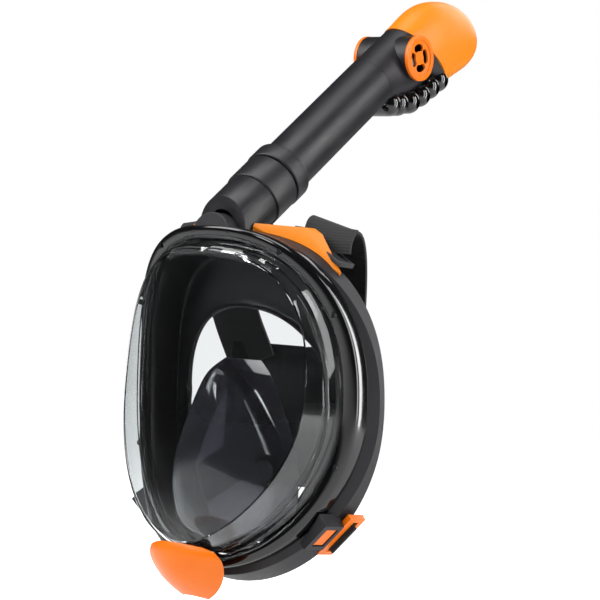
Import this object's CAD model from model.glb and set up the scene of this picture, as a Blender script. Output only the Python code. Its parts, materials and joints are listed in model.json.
import json
import math

import bmesh
import bpy
from mathutils import Matrix, Vector


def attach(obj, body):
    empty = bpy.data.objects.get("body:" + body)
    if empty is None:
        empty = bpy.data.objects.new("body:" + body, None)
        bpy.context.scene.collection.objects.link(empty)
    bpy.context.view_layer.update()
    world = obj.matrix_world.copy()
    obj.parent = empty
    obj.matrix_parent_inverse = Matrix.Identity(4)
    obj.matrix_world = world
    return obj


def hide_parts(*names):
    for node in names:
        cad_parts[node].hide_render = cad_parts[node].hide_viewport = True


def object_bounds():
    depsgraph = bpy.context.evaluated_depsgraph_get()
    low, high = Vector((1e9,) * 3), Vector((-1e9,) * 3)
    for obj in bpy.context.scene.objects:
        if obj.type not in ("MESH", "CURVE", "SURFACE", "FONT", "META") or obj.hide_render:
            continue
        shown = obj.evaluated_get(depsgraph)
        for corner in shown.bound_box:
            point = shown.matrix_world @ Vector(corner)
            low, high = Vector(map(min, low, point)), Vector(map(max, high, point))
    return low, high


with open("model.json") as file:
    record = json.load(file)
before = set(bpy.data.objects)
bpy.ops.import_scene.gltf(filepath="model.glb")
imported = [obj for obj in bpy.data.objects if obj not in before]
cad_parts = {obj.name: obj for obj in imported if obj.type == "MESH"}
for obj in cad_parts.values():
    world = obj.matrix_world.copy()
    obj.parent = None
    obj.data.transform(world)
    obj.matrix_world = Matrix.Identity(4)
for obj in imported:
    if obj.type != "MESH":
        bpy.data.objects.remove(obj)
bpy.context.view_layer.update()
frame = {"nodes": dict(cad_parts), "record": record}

MM = 0.001
DRIFT_MM = 26.0         # size of the slow changes in colour and gloss of moulded plastic


# ---- materials -----------------------------------------------------------------------------
def colour(hex_code, alpha=1.0):
    """sRGB hex to a linear colour."""
    parts = [int(hex_code[i:i + 2], 16) / 255 for i in (1, 3, 5)]
    linear = [p / 12.92 if p <= 0.04045 else ((p + 0.055) / 1.055) ** 2.4 for p in parts]
    return (*linear, alpha)


def add(tree, kind, inputs=None, **settings):
    """Adds a node. inputs maps a socket to its value, or to the output that feeds it."""
    node = tree.nodes.new(kind)
    for key, value in settings.items():
        setattr(node, key, value)
    for key, value in (inputs or {}).items():
        if isinstance(value, bpy.types.NodeSocket):
            tree.links.new(value, node.inputs[key])
        else:
            node.inputs[key].default_value = value
    return node


def shaded(name, inputs):
    """New material with one Principled shader. Returns it with its tree and shader."""
    made = bpy.data.materials.new(name)
    made.use_nodes = True
    tree = made.node_tree
    tree.nodes.clear()
    shader = add(tree, "ShaderNodeBsdfPrincipled", inputs)
    add(tree, "ShaderNodeOutputMaterial", {"Surface": shader.outputs["BSDF"]})
    return made, tree, shader


def moulded(name, base, tint, roughness, spread, grain_mm, grain_depth, **more):
    """Injection-moulded plastic or silicone: tool grain as bump, slow drift in colour and gloss."""
    inputs = {"IOR": 1.5, **{key.replace("_", " "): value for key, value in more.items()}}
    made, tree, shader = shaded(name, inputs)
    place = add(tree, "ShaderNodeTexCoord").outputs["Object"]
    slow = add(tree, "ShaderNodeTexNoise", {"Vector": place, "Scale": 1 / (DRIFT_MM * MM), "Detail": 3.0})
    fine = add(tree, "ShaderNodeTexNoise", {"Vector": place, "Scale": 1 / (grain_mm * MM), "Detail": 2.0})
    mix = add(tree, "ShaderNodeMix", {0: slow.outputs["Fac"], 6: colour(base), 7: colour(tint)}, data_type="RGBA")
    tree.links.new(mix.outputs[2], shader.inputs["Base Color"])
    gloss = add(tree, "ShaderNodeMapRange", {"Value": slow.outputs["Fac"], "From Min": 0.3, "From Max": 0.7,
                                             "To Min": roughness - spread, "To Max": roughness + spread})
    tree.links.new(gloss.outputs["Result"], shader.inputs["Roughness"])
    bump = add(tree, "ShaderNodeBump", {"Height": fine.outputs["Fac"], "Distance": grain_depth * MM,
                                        "Strength": 1.0})
    tree.links.new(bump.outputs["Normal"], shader.inputs["Normal"])
    return made


# ABS from a polished tool: near mirror, with slow ripples that bend the long highlights
ABS_GLOSS = moulded("abs_polished_black", "#050506", "#09090b", 0.10, 0.03, 9.0, 0.02)
# ABS from a lightly blasted tool: soft broad highlights, a faint violet in the black
ABS_SATIN = moulded("abs_satin_black", "#0c0b0f", "#111015", 0.43, 0.05, 0.7, 0.012, Specular_IOR_Level=0.35)
# ABS from a spark-eroded tool: even charcoal, no clear reflection
ABS_MATTE = moulded("abs_spark_eroded_charcoal", "#151417", "#1b1a1e", 0.50, 0.06, 0.6, 0.03,
                    Specular_IOR_Level=0.35)
# ABS dyed orange right through, satin tool: strong flat colour, only a dull sheen
ABS_ORANGE = moulded("abs_satin_orange", "#d86a00", "#cc5d00", 0.36, 0.05, 0.8, 0.01, Specular_IOR_Level=0.3)
# the yellower orange of the hood and anchor covers, from the same kind of tool
ABS_AMBER = moulded("abs_satin_amber", "#cc7409", "#c26a05", 0.42, 0.05, 0.8, 0.01, Specular_IOR_Level=0.3)
# liquid silicone, moulded: deep black with a soft bloom
SILICONE = moulded("silicone_black", "#08080a", "#0d0d0f", 0.45, 0.05, 2.0, 0.003, Specular_IOR_Level=0.3)
# thin red silicone of the valve flaps: the one glint of red between the cage lobes
RED_SILICONE = moulded("silicone_red", "#a01410", "#7c0d0b", 0.4, 0.05, 1.0, 0.01)
# polypropylene float balls, moulded: off-white with a waxy shine
BALL_WHITE = moulded("polypropylene_white", "#d8d8d2", "#c8c8c2", 0.3, 0.05, 1.5, 0.01)
# polycarbonate, polished tool: clear, sharp edge highlights
CLEAR, _, _ = shaded("polycarbonate_clear", {"Base Color": colour("#f4f7f8"), "Transmission Weight": 1.0,
                                             "Roughness": 0.015, "IOR": 1.42})
# polycarbonate dyed grey: dark where it is seen edge on, see-through where it faces the eye
SMOKE, _, _ = shaded("polycarbonate_smoked", {"Base Color": colour("#3c3c44"), "Transmission Weight": 0.72,
                                              "Roughness": 0.06, "IOR": 1.5})
# stainless steel, turned: small dark screw heads and the hinge pin
STEEL, _, _ = shaded("stainless_steel_turned", {"Base Color": colour("#3a3a3c"), "Metallic": 1.0,
                                                "Roughness": 0.3})

FINISH = {"clear_pc": CLEAR, "smoke_pc": SMOKE, "black_gloss": ABS_GLOSS, "black_satin": ABS_SATIN,
          "black_matte": ABS_MATTE, "orange": ABS_ORANGE, "silicone": SILICONE, "valve_silicone": RED_SILICONE,
          "webbing": SILICONE, "steel": STEEL, "float_white": BALL_WHITE}
for entry in frame["record"]["subparts"]:
    held = frame["nodes"][entry["node"]]
    for slot in held.material_slots:
        slot.material = FINISH[entry["material_slot"]]

# ---- shape of the mask ---------------------------------------------------------------------
# half width, top, bottom, squareness above and below the widest point, in millimetres
WIDE_Z = 3.0
BEZEL_OUT = (91.0, 108.0, -106.0, 2.5, 2.05)
LENS_NEAR = (67.2, 88.0, -89.0, 2.6, 1.8)
LENS_FAR = (86.5, 125.0, -109.5, 2.6, 1.9)
LENS_NEAR_Y = -80.0
PANE_Y, PANE_R = -72.5, 141.0
DATUM_Y, DATUM_R, DATUM_TILT = -55.0, 130.0, 0.10
RING_SEGMENTS = 192


def egg(outline, turn, grow=0.0):
    """Point (x, z) of an egg outline at an angle about its widest point."""
    wide, top, bottom, power_top, power_bottom = outline
    c, s = math.cos(turn), math.sin(turn)
    tall, power = (top - WIDE_Z, power_top) if s >= 0 else (WIDE_Z - bottom, power_bottom)
    reach = (abs(c / (wide + grow)) ** power + abs(s / (tall + grow)) ** power) ** (-1 / power)
    return reach * c, WIDE_Z + reach * s


def datum(x, z):
    """Depth of the curved surface that the bezel follows."""
    return DATUM_Y - DATUM_TILT * z + DATUM_R - math.sqrt(DATUM_R ** 2 - x * x)


def pane(x):
    return PANE_Y + PANE_R - math.sqrt(PANE_R ** 2 - x * x)


def wall(turn, y):
    """Point (x, z) of the lens side wall at a depth."""
    near, far = egg(LENS_NEAR, turn), egg(LENS_FAR, turn)
    share = (y - LENS_NEAR_Y) / -LENS_NEAR_Y
    return tuple(a + (b - a) * share for a, b in zip(near, far))


def meet(turn, depth_of):
    """Where the side wall meets a surface, given as a depth for each (x, z)."""
    y = LENS_NEAR_Y
    for _ in range(12):
        x, z = wall(turn, y)
        y = depth_of(x, z)
    return x, y, z


def on_pane(share):
    """Loop on the front pane, at a share of the way out to its edge."""
    def place(turn):
        x, _, z = meet(turn, lambda x, z: pane(x))
        x, z = x * share, WIDE_Z + (z - WIDE_Z) * share
        return x, pane(x), z
    return place


def on_wall(back, out):
    """Loop beside the side wall: back from the datum, and out from the wall."""
    def place(turn):
        x, y, z = meet(turn, lambda x, z: datum(x, z) + back)
        return x + out * math.cos(turn), y, z + out * math.sin(turn)
    return place


def on_rim(grow, back):
    """Loop on the bezel's outline, grown or shrunk, and back from the datum."""
    def place(turn):
        x, z = egg(BEZEL_OUT, turn, grow)
        return x, datum(x, z) + back, z
    return place


# ---- making pieces -------------------------------------------------------------------------
def finish_piece(name, shape, material, body, smooth=True):
    """Turns a bmesh in millimetres into a piece in metres that rides on a body."""
    bmesh.ops.scale(shape, verts=shape.verts, vec=(MM, MM, MM))
    mesh = bpy.data.meshes.new(name)
    shape.to_mesh(mesh)
    shape.free()
    for face in mesh.polygons:
        face.use_smooth = smooth
    mesh.materials.append(material)
    piece = bpy.data.objects.new(name, mesh)
    bpy.context.scene.collection.objects.link(piece)
    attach(piece, body)
    return piece


def soften(piece, width_mm, segments=3, angle=30):
    """Rounds the edges of a piece."""
    bevel = piece.modifiers.new("edges", "BEVEL")
    bevel.width = width_mm * MM
    bevel.segments = segments
    bevel.limit_method = "ANGLE"
    bevel.angle_limit = math.radians(angle)
    bevel.use_clamp_overlap = True
    bevel.harden_normals = True
    return piece


def walled(piece, thickness_mm, offset=0.0):
    """Gives a sheet its wall. offset -1 puts the wall inside the sheet, 0 puts it half on each side."""
    solid = piece.modifiers.new("wall", "SOLIDIFY")
    solid.thickness = thickness_mm * MM
    solid.offset = offset
    return piece


def smoothed(piece):
    """Subdivides a piece once."""
    sub = piece.modifiers.new("smooth", "SUBSURF")
    sub.levels = sub.render_levels = 1
    return piece


def ring(loops, close_centre=False, close_ring=False):
    """Skin through loops round the face, each a function from the angle to a point."""
    shape = bmesh.new()
    turn_of = shape.verts.layers.float.new("turn")
    bmesh.ops.create_circle(shape, segments=RING_SEGMENTS, radius=1.0, cap_ends=close_centre)
    for vert in shape.verts:
        vert[turn_of] = math.atan2(vert.co.y, vert.co.x)
    first = shape.edges[:]
    edges, verts = first, shape.verts[:]
    for index, place in enumerate(loops):
        if index:
            grown = bmesh.ops.extrude_edge_only(shape, edges=edges)["geom"]
            verts = [g for g in grown if isinstance(g, bmesh.types.BMVert)]
            new = set(verts)
            edges = [g for g in grown if isinstance(g, bmesh.types.BMEdge) and set(g.verts) <= new]
        for vert in verts:
            vert.co = place(vert[turn_of])
    if close_ring:
        bmesh.ops.bridge_loops(shape, edges=first + edges)
    bmesh.ops.recalc_face_normals(shape, faces=shape.faces)
    return shape


def rounded(node, material, body, width_mm, segments=3, merge_angle=2.0, trim=None):
    """A CAD node's own shape with rounded edges, standing for that node. trim planes its top off."""
    source = frame["nodes"][node]
    shape = bmesh.new()
    shape.from_mesh(source.data)
    bmesh.ops.transform(shape, matrix=source.matrix_world, verts=shape.verts)
    bmesh.ops.scale(shape, verts=shape.verts, vec=(1 / MM, 1 / MM, 1 / MM))
    bmesh.ops.remove_doubles(shape, verts=shape.verts, dist=0.002)
    bmesh.ops.dissolve_limit(shape, angle_limit=math.radians(merge_angle), verts=shape.verts, edges=shape.edges)
    if trim:
        spot, way = trim
        whole = shape.verts[:] + shape.edges[:] + shape.faces[:]
        cut = bmesh.ops.bisect_plane(shape, geom=whole, plane_co=spot, plane_no=way, clear_outer=True)["geom_cut"]
        bmesh.ops.holes_fill(shape, edges=[g for g in cut if isinstance(g, bmesh.types.BMEdge)])
    piece = finish_piece(node + "_finished", shape, material, body)
    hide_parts(node)
    return soften(piece, width_mm, segments)


# ---- lens ----------------------------------------------------------------------------------
shares = (0.02, 0.15, 0.3, 0.45, 0.6, 0.75, 0.87, 0.95, 0.985)
loops = [on_pane(share) for share in shares]
loops += [on_pane(1.0), on_wall(-9.0, 0.0), on_wall(-6.5, 0.0), on_wall(-5.4, 1.7), on_wall(-1.0, 2.0)]
loops += [on_wall(0.6, 3.2), on_rim(-7.4, 2.9), on_rim(-3.0, 2.9)]
lens = finish_piece("lens_shell", ring(loops, close_centre=True), CLEAR, "mask")
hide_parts("lens")
soften(walled(lens, 2.4, -1.0), 1.1, 4, 20)

# ---- bezel ---------------------------------------------------------------------------------
loops = [on_rim(0, 9.0), on_rim(0, -0.4), on_rim(-0.8, -1.9), on_rim(-2.2, -2.5), on_rim(-5.6, -2.0)]
loops += [on_rim(-7.6, -0.6), on_rim(-8.5, 1.2), on_rim(-8.5, 2.7), on_rim(-2.6, 2.7), on_rim(-2.6, 9.0)]
bezel = finish_piece("bezel_rim", ring(loops, close_ring=True), ABS_GLOSS, "mask")
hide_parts("bezel")
soften(bezel, 0.4, 2, 40)

# half disc on top of the rim, under the stem
BOSS_R, BOSS_DEPTH, BOSS_AT, BOSS_FLOOR = 15.5, 10.5, (0, -61.7, 100.6), 103.0
boss = bmesh.new()
bmesh.ops.create_cone(boss, cap_ends=True, segments=96, radius1=BOSS_R, radius2=BOSS_R, depth=BOSS_DEPTH)
bmesh.ops.rotate(boss, verts=boss.verts, matrix=Matrix.Rotation(math.radians(90), 3, "X"))
bmesh.ops.translate(boss, verts=boss.verts, vec=BOSS_AT)
whole = boss.verts[:] + boss.edges[:] + boss.faces[:]
cut = bmesh.ops.bisect_plane(boss, geom=whole, plane_co=(0, 0, BOSS_FLOOR), plane_no=(0, 0, 1),
                             clear_inner=True)["geom_cut"]
bmesh.ops.contextual_create(boss, geom=[g for g in cut if isinstance(g, bmesh.types.BMEdge)])
boss = finish_piece("bezel_boss", boss, ABS_MATTE, "mask")
soften(boss, 2.6, 5, 40)

# ---- chin cover ----------------------------------------------------------------------------
# height, half width, depth on the centre line and at the ends
CHIN = [(-89.6, 19.0, -77.0, -69.0), (-92.0, 26.0, -77.8, -66.4), (-97.0, 30.4, -78.0, -63.8),
        (-103.0, 30.2, -76.8, -60.8), (-109.0, 27.6, -73.4, -57.6), (-115.0, 23.0, -68.0, -54.6),
        (-120.0, 16.8, -61.5, -51.6), (-123.6, 10.5, -55.2, -49.2)]
CHIN_COLUMNS = 24
CHIN_DROP = 1.6         # how far the ends of a row hang below its middle


def chin_shield():
    """Bowed shield: each row is an arc, deepest in the middle, with a raised lip at the top."""
    shape = bmesh.new()
    rows = []
    for z, half, middle, end in CHIN:
        row = []
        for column in range(CHIN_COLUMNS + 1):
            across = 2 * column / CHIN_COLUMNS - 1
            depth = middle + (end - middle) * across ** 2
            row.append(shape.verts.new((half * across, depth, z - CHIN_DROP * across ** 2)))
        for a, b in zip(row, row[1:]):
            shape.edges.new((a, b))
        rows.append(row)
    for upper, lower in zip(rows, rows[1:]):
        strip = [shape.edges.get(pair) for row in (upper, lower) for pair in zip(row, row[1:])]
        bmesh.ops.bridge_loops(shape, edges=strip)
    bmesh.ops.recalc_face_normals(shape, faces=shape.faces)
    return shape


chin = finish_piece("chin_shield", chin_shield(), ABS_ORANGE, "mask")
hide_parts("chin_cover")
smoothed(soften(walled(chin, 2.6, -1.0), 0.9, 3, 40))

# ---- webbing -------------------------------------------------------------------------------
# spacing of the ribs across a strap and of the yarns along it
RIB_MM, YARN_MM = 1.9, 1.3


def webbing_material():
    """Polyester webbing: dull ribs across the strap with finer yarns between, and a soft sheen."""
    made, tree, shader = shaded("polyester_webbing_black", {"Roughness": 0.78, "IOR": 1.45, "Sheen Weight": 0.08,
                                                            "Sheen Roughness": 0.45})
    uv = add(tree, "ShaderNodeTexCoord").outputs["UV"]
    split = add(tree, "ShaderNodeSeparateXYZ", {"Vector": uv})
    ribs = add(tree, "ShaderNodeMath", {0: split.outputs["Y"], 1: 2 * math.pi / RIB_MM}, operation="MULTIPLY")
    ribs = add(tree, "ShaderNodeMath", {0: ribs.outputs[0]}, operation="SINE")
    yarns = add(tree, "ShaderNodeMath", {0: split.outputs["X"], 1: 2 * math.pi / YARN_MM}, operation="MULTIPLY")
    yarns = add(tree, "ShaderNodeMath", {0: yarns.outputs[0]}, operation="SINE")
    weave = add(tree, "ShaderNodeMath", {0: ribs.outputs[0], 1: yarns.outputs[0]}, operation="MULTIPLY")
    height = add(tree, "ShaderNodeMath", {0: weave.outputs[0], 1: 0.6, 2: ribs.outputs[0]},
                 operation="MULTIPLY_ADD")
    shade = add(tree, "ShaderNodeMapRange", {"Value": height.outputs[0], "From Min": -1.6, "From Max": 1.6})
    mix = add(tree, "ShaderNodeMix", {0: shade.outputs["Result"], 6: colour("#070709"), 7: colour("#141417")},
              data_type="RGBA")
    tree.links.new(mix.outputs[2], shader.inputs["Base Color"])
    bump = add(tree, "ShaderNodeBump", {"Height": height.outputs[0], "Distance": 0.08 * MM, "Strength": 0.6})
    tree.links.new(bump.outputs["Normal"], shader.inputs["Normal"])
    return made


WEBBING = webbing_material()
STRAP_COLUMNS = 10


def smooth_path(points, steps):
    """Points on a smooth curve through the given ones."""
    path = []
    for k in range(len(points) - 1):
        p0, p1 = points[max(k - 1, 0)], points[k]
        p2, p3 = points[k + 1], points[min(k + 2, len(points) - 1)]
        for step in range(steps):
            t = step / steps
            path.append(0.5 * ((2 * p1) + (p2 - p0) * t + (2 * p0 - 5 * p1 + 4 * p2 - p3) * t * t
                               + (3 * p1 - p0 - 3 * p2 + p3) * t ** 3))
    return path + [points[-1]]


def strap(name, centres, sides, width, node, mirror):
    """Flat webbing along a path, with its length and width in millimetres as its UV map."""
    path = smooth_path([Vector(c) for c in centres], 8)
    ways = smooth_path([Vector(s) for s in sides], 8)
    shape = bmesh.new()
    uv_layer = shape.loops.layers.uv.new("weave")
    length, rows, marks = 0.0, [], {}
    for k, (centre, way) in enumerate(zip(path, ways)):
        along = (path[min(k + 1, len(path) - 1)] - path[max(k - 1, 0)]).normalized()
        across = (way - along * way.dot(along)).normalized()
        length += (centre - path[k - 1]).length if k else 0.0
        row = []
        for column in range(STRAP_COLUMNS + 1):
            offset = (column / STRAP_COLUMNS - 0.5) * width
            vert = shape.verts.new(centre + across * offset)
            marks[vert] = (offset, length)
            row.append(vert)
        for a, b in zip(row, row[1:]):
            shape.edges.new((a, b))
        rows.append(row)
    for upper, lower in zip(rows, rows[1:]):
        strip = [shape.edges.get(pair) for row in (upper, lower) for pair in zip(row, row[1:])]
        bmesh.ops.bridge_loops(shape, edges=strip)
    for face in shape.faces:
        for loop in face.loops:
            loop[uv_layer].uv = marks[loop.vert]
    if mirror:
        bmesh.ops.scale(shape, verts=shape.verts, vec=(-1, 1, 1))
    bmesh.ops.recalc_face_normals(shape, faces=shape.faces)
    piece = finish_piece(name, shape, WEBBING, "mask")
    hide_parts(node)
    return soften(walled(piece, 1.7), 0.4, 2, 40)


BUCKLE_AT = Vector((71.0, -17.5, -77.5))
SLOT_ALONG = 15.4       # from the buckle's middle to its strap slot
ALONG = Vector((0.15, 0.985, 0.0)).normalized()
BAR = Vector((0.72, -0.11, 0.68))
BAR = (BAR - ALONG * BAR.dot(ALONG)).normalized()
OUT = ALONG.cross(BAR)
slot_at = BUCKLE_AT + ALONG * SLOT_ALONG
TILTED = (0.97, 0, -0.25)
UPPER = [(53, -15.9, 97), (53, -15.4, 106), (53, -12, 114), (53, -7, 115.5), (52, -1, 111), (51, 5, 98),
         (48, 12, 75), (43, 19, 52), (36, 25, 32), (33, 26.6, 24)]
LOWER = [slot_at + OUT * 5, slot_at, slot_at - OUT * 5, (62, 10, -64), (51, 19, -52), (42, 24.5, -44),
         (36, 26.6, -41)]
for side, mirror in (("left", False), ("right", True)):
    strap("webbing_upper_" + side, UPPER, [TILTED] * len(UPPER), 37.6, "upper_strap_" + side, mirror)
    strap("webbing_lower_" + side, LOWER, [BAR] * 3 + [(0.3, 0, 0.95)] * 4, 25.6, "lower_strap_" + side, mirror)

# ---- hard pieces with moulded edges --------------------------------------------------------
COVER_TOP = 111.5
EDGES = [  # node, material, body, edge radius in millimetres
    ("joint_sleeve", ABS_SATIN, "snorkel", 0.35), ("lock_collar", ABS_SATIN, "collar", 0.3),
    ("stem", ABS_SATIN, "mask", 0.4), ("hood_cap", ABS_AMBER, "snorkel", 0.25),
]
for side in ("left", "right"):
    EDGES += [("strap_buckle_" + side, ABS_ORANGE, "mask", 0.7),
              ("buckle_button_" + side, ABS_ORANGE, "button_" + side[0], 0.6),
              ("strap_anchor_loop_" + side, ABS_MATTE, "mask", 0.5),
              ("inlet_grille_" + side, ABS_ORANGE, "snorkel", 0.5)]
for node, material, body, width in EDGES:
    rounded(node, material, body, width)

# ---- strap anchor covers: the ridge is planed flat -------------------------------------------
for side in ("left", "right"):
    rounded("strap_anchor_cover_" + side, ABS_AMBER, "mask", 1.1, trim=((0, 0, COVER_TOP), (0, 0, 1)))

# ---- skirt ---------------------------------------------------------------------------------
SKIRT_FRONT = (82.6, 98.0, -95.6, 2.5, 2.05)
SKIRT_MIDDLE = (81.8, 95.5, -96.5, 2.5, 2.05)
SEAL_OPENING = (56.0, 58.0, -84.0, 2.2, 2.0)
SEAL_Y, SEAL_R = -16.0, 130.0


def seal(x, z):
    """Depth of the face-shaped seal."""
    return SEAL_Y - DATUM_TILT * z + SEAL_R - math.sqrt(SEAL_R ** 2 - x * x)


def between(share):
    """Loop on the skirt's side wall, from its front edge to the seal."""
    def place(turn):
        xf, zf = egg(SKIRT_FRONT, turn)
        xb, zb = egg(SKIRT_MIDDLE, turn)
        x, z = xf + (xb - xf) * share, zf + (zb - zf) * share
        return x, (datum(xf, zf) + 7.6) * (1 - share) + (seal(xb, zb) - 3.0) * share, z
    return place


def on_lip(share, forward):
    """Loop on the lip, from the side wall to the opening for the face."""
    def place(turn):
        xa, za = egg(SKIRT_MIDDLE, turn, -2.0)
        xb, zb = egg(SEAL_OPENING, turn, 2.0)
        x, z = xa + (xb - xa) * share, za + (zb - za) * share
        return x, seal(x, z) - forward, z
    return place


loops = [between(share) for share in (0.0, 0.35, 0.7, 1.0)]
loops += [on_lip(0.0, 1.4), on_lip(0.3, 1.2), on_lip(0.65, 1.2), on_lip(0.9, 1.3), on_lip(1.0, 2.4)]
loops += [on_lip(1.02, 5.0)]
skirt = finish_piece("skirt_moulding", ring(loops), SILICONE, "mask")
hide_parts("skirt")
smoothed(walled(skirt, 2.0))

# ---- nose and mouth pocket ------------------------------------------------------------------
# height, half width and depth, in front of the back plane
POCKET_BACK = -12.0
POCKET = [(26, 6, 28), (16, 16, 41), (0, 26, 46), (-25, 38, 49), (-52, 45, 48), (-78, 41, 41), (-91, 30, 30)]
POCKET_COLUMNS = 28
pocket = bmesh.new()
rows = []
stations = smooth_path([Vector(station) for station in POCKET], 4)
for z, half, depth in stations:
    row = []
    for column in range(POCKET_COLUMNS + 1):
        turn = math.pi * column / POCKET_COLUMNS
        row.append(pocket.verts.new(((half - 1) * math.cos(turn), POCKET_BACK - (depth - 1) * math.sin(turn), z)))
    for a, b in zip(row, row[1:]):
        pocket.edges.new((a, b))
    rows.append(row)
for upper, lower in zip(rows, rows[1:]):
    strip = [pocket.edges.get(pair) for row in (upper, lower) for pair in zip(row, row[1:])]
    bmesh.ops.bridge_loops(pocket, edges=strip)
bmesh.ops.recalc_face_normals(pocket, faces=pocket.faces)
pocket = finish_piece("pocket_shell", pocket, SMOKE, "mask")
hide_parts("nose_pocket")
soften(walled(pocket, 1.8), 0.6, 2, 40)

# ---- back pad -------------------------------------------------------------------------------
rounded("back_pad", SILICONE, "mask", 0.9)
# ---- floor, light and camera ---------------------------------------------------------------
def seen_directly(tree):
    """1 where a ray came straight or through clear walls, 0 after any reflection."""
    ray = add(tree, "ShaderNodeLightPath")
    direct = add(tree, "ShaderNodeMath", {0: ray.outputs["Is Camera Ray"], 1: ray.outputs["Is Transmission Ray"]},
                 operation="MAXIMUM")
    unmirrored = add(tree, "ShaderNodeMath", {0: ray.outputs["Glossy Depth"], 1: 0.5}, operation="LESS_THAN")
    both = add(tree, "ShaderNodeMath", {0: direct.outputs[0], 1: unmirrored.outputs[0]}, operation="MULTIPLY")
    return both.outputs[0]


def facing(azimuth, elevation):
    """Direction from the object to a light or camera, azimuth 0 in front of the mask."""
    flat = math.cos(elevation)
    return Vector((math.sin(azimuth) * flat, -math.cos(azimuth) * flat, math.sin(elevation)))


FLOOR_SIZE, FLOOR_DROP = 6.0, 60 * MM
low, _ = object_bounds()
stage = bmesh.new()
bmesh.ops.create_grid(stage, x_segments=1, y_segments=1, size=FLOOR_SIZE)
bmesh.ops.translate(stage, verts=stage.verts, vec=(0, 0, low.z - FLOOR_DROP))
floor_mesh = bpy.data.meshes.new("floor")
stage.to_mesh(floor_mesh)
stage.free()
floor = bpy.data.objects.new("floor", floor_mesh)
bpy.context.scene.collection.objects.link(floor)
paint, tree, shader = shaded("paint_pale", {"Base Color": colour("#f6f6f6"), "Roughness": 0.9,
                                            "Emission Color": colour("#ffffff")})
tree.links.new(seen_directly(tree), shader.inputs["Emission Strength"])
floor_mesh.materials.append(paint)

world = bpy.data.worlds.new("studio")
bpy.context.scene.world = world
world.use_nodes = True
sky = world.node_tree
level = add(sky, "ShaderNodeMapRange", {"Value": seen_directly(sky), "To Min": 0.05, "To Max": 1.0})
sky.links.new(level.outputs["Result"], sky.nodes["Background"].inputs["Strength"])
sky.nodes["Background"].inputs["Color"].default_value = colour("#ffffff")
bpy.context.scene.view_settings.view_transform = "Standard"

MIDDLE = Vector((0, 20 * MM, 60 * MM))
LIGHTS = [  # name, azimuth, elevation, distance, width, height, power
    ("key", -30, 40, 1.4, 0.7, 1.2, 24),
    ("side", 100, 15, 1.3, 0.3, 1.4, 10),
    ("top", 30, 78, 1.3, 0.8, 0.8, 12),
    ("strip", 122, 12, 1.2, 0.16, 1.3, 12),
    ("window", 8, 28, 1.5, 0.35, 0.35, 7),
    ("behind", 180, 35, 1.6, 1.0, 0.8, 9),
]
for name, azimuth, elevation, distance, width, height, power in LIGHTS:
    lamp = bpy.data.lights.new(name, "AREA")
    lamp.shape, lamp.size, lamp.size_y, lamp.energy = "RECTANGLE", width, height, power
    holder = bpy.data.objects.new(name, lamp)
    bpy.context.scene.collection.objects.link(holder)
    back = facing(math.radians(azimuth), math.radians(elevation))
    holder.location = MIDDLE + back * distance
    holder.rotation_euler = (-back).to_track_quat("-Z", "Y").to_euler()

AZIMUTH, ELEVATION, ROLL = math.radians(38), math.radians(-1.5), math.radians(5)
LOOK_AT = Vector((43.5, -26.2, 66.2)) * MM
CAMERA_DISTANCE = 1.4
CAMERA_LENS = 134.4
camera_data = bpy.data.cameras.new("camera")
camera_data.lens = CAMERA_LENS
camera = bpy.data.objects.new("camera", camera_data)
bpy.context.scene.collection.objects.link(camera)
back = facing(AZIMUTH, ELEVATION)
camera.location = LOOK_AT + back * CAMERA_DISTANCE
aim = (-back).to_track_quat("-Z", "Y").to_matrix().to_4x4() @ Matrix.Rotation(ROLL, 4, "Z")
camera.rotation_euler = aim.to_euler()
camera_data.clip_start, camera_data.clip_end = 0.05, 50
bpy.context.scene.camera = camera
